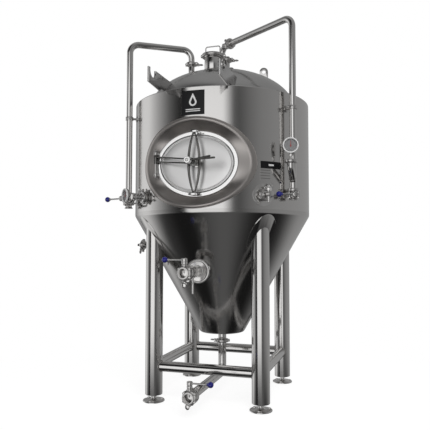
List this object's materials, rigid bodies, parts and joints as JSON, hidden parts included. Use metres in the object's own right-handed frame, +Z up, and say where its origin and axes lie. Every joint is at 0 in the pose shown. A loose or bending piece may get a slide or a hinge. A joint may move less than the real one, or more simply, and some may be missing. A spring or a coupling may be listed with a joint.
{
  "type": "jacketed conical fermenter",
  "caption": "Insulated stainless conical fermenter on tubular legs, with a side manway, pipe arms with valves and gauges, a racking outlet and a bottom dump line.",
  "frame": {"origin": "on the tank's axis at floor level, midway between the four feet", "axes": "+Z up the tank's axis; -Y towards the front, where the manway, racking outlet and dump outlet are; +X to the right seen from the front"},
  "size_m": [1.2026, 1.282, 2.2324],
  "materials": {
    "steel": "satin",
    "cladding": "bright rolled sheet",
    "polished": "polished",
    "cast": "cast and blasted",
    "foam": "open cells",
    "silicone": "matte",
    "black": "gloss enamel",
    "blue": "gloss",
    "red": "matte"
  },
  "bodies": {
    "tank": {"vessel_body": "steel", "top_head": "cladding", "side_cooling_jacket": "steel", "cone_cooling_jacket": "steel", "side_insulation": "foam", "cone_insulation": "foam", "side_cladding": "cladding", "cone_cladding": "cladding", "leg_front_left": "steel", "leg_front_right": "steel", "leg_rear_left": "steel", "leg_rear_right": "steel", "crossbar_front": "steel", "crossbar_rear": "steel", "crossbar_left": "steel", "crossbar_right": "steel", "manway_surround": "cladding", "manway_neck": "polished", "manway_gasket": "silicone", "racking_valve_body": "cast", "dump_valve_body": "cast", "cip_valve_body": "cast", "blowoff_valve_body": "cast", "cip_arm": "steel", "blowoff_arm": "steel", "spray_ball": "polished", "blowoff_gauge": "polished", "cip_gauge": "polished", "dump_pipe": "steel", "racking_cap": "polished", "sample_valve_body": "polished", "thermowell": "polished", "carbonation_stone": "cast", "hatch_lid": "polished", "relief_port_cap": "polished", "ladder_hook_left": "steel", "ladder_hook_right": "steel", "badge_plate": "black", "data_plate": "black", "outlet_clamp": "cast", "hatch_clamp": "cast", "cip_port_clamp": "cast", "blowoff_port_clamp": "cast"},
    "door": {"manway_door": "polished", "manway_hinge_arm": "polished"},
    "yoke": {"manway_yoke": "polished"},
    "thrust_washer": {"manway_thrust_washer": "cast"},
    "clamp_handle": {"manway_handle": "cast"},
    "racking_handle": {"racking_valve_handle": "blue"},
    "dump_handle": {"dump_valve_handle": "blue"},
    "cip_handle": {"cip_valve_handle": "blue"},
    "blowoff_handle": {"blowoff_valve_handle": "blue"},
    "dip_arm": {"racking_arm": "polished"},
    "sample_tap": {"sample_valve_handle": "blue"},
    "blowoff_needle": {"blowoff_gauge_needle": "red"},
    "cip_needle": {"cip_gauge_needle": "red"},
    "front_left_foot": {"foot_front_left": "polished"},
    "front_right_foot": {"foot_front_right": "polished"},
    "rear_left_foot": {"foot_rear_left": "polished"},
    "rear_right_foot": {"foot_rear_right": "polished"}
  },
  "joints": [
    {"name": "manway_door_swing", "type": "hinge", "parent": "tank", "child": "door", "pos_m": [-0.238, -0.505, 1.367], "axis": [0, 0, -1], "range_deg": [0, 110]},
    {"name": "yoke_turn", "type": "hinge", "parent": "door", "child": "yoke", "pos_m": [0, -0.53, 1.367], "axis": [0, -1, 0], "range_deg": [0, 30]},
    {"name": "clamp_slide", "type": "slide", "parent": "door", "child": "thrust_washer", "axis": [0, -1, 0], "range_m": [0, 0.015]},
    {"name": "handle_turn", "type": "hinge", "parent": "thrust_washer", "child": "clamp_handle", "pos_m": [0, -0.6, 1.367], "axis": [0, -1, 0], "range_deg": [0, 1080]},
    {"name": "racking_lever_turn", "type": "hinge", "parent": "tank", "child": "racking_handle", "pos_m": [0, -0.667, 0.771], "axis": [0, 0, 1], "range_deg": [0, 90]},
    {"name": "dump_lever_turn", "type": "hinge", "parent": "tank", "child": "dump_handle", "pos_m": [0, -0.586, 0.118], "axis": [0, 0, -1], "range_deg": [0, 90]},
    {"name": "cip_lever_turn", "type": "hinge", "parent": "tank", "child": "cip_handle", "pos_m": [-0.49616, -0.3284, 1.1918], "axis": [0.3489, 0.9371, 0], "range_deg": [0, 90]},
    {"name": "blowoff_lever_turn", "type": "hinge", "parent": "tank", "child": "blowoff_handle", "pos_m": [0.50894, -0.30823, 1.1918], "axis": [0.3489, -0.9371, 0], "range_deg": [0, 90]},
    {"name": "dip_arm_turn", "type": "hinge", "parent": "tank", "child": "dip_arm", "pos_m": [0, -0.55, 0.771], "axis": [0, 1, 0], "range_deg": [-180, 180]},
    {"name": "sample_tap_turn", "type": "hinge", "parent": "tank", "child": "sample_tap", "pos_m": [0.41483, -0.4772, 1.19], "axis": [0.6561, -0.7547, 0], "range_deg": [0, 90]},
    {"name": "blowoff_needle_turn", "type": "hinge", "parent": "tank", "child": "blowoff_needle", "pos_m": [0.50933, -0.3841, 1.463], "axis": [0.1736, -0.9848, 0], "range_deg": [-135, 135]},
    {"name": "cip_needle_turn", "type": "hinge", "parent": "tank", "child": "cip_needle", "pos_m": [-0.47152, -0.43835, 1.205], "axis": [-0.6691, -0.7431, 0], "range_deg": [-135, 135]},
    {"name": "front_left_foot_screw", "type": "slide", "parent": "tank", "child": "front_left_foot", "axis": [0, 0, -1], "range_m": [0, 0.03]},
    {"name": "front_right_foot_screw", "type": "slide", "parent": "tank", "child": "front_right_foot", "axis": [0, 0, -1], "range_m": [0, 0.03]},
    {"name": "rear_left_foot_screw", "type": "slide", "parent": "tank", "child": "rear_left_foot", "axis": [0, 0, -1], "range_m": [0, 0.03]},
    {"name": "rear_right_foot_screw", "type": "slide", "parent": "tank", "child": "rear_right_foot", "axis": [0, 0, -1], "range_m": [0, 0.03]}
  ],
  "couplings": [
    {"joint": "clamp_slide", "follows": "handle_turn", "m_per_rad": 0.00079577}
  ]
}
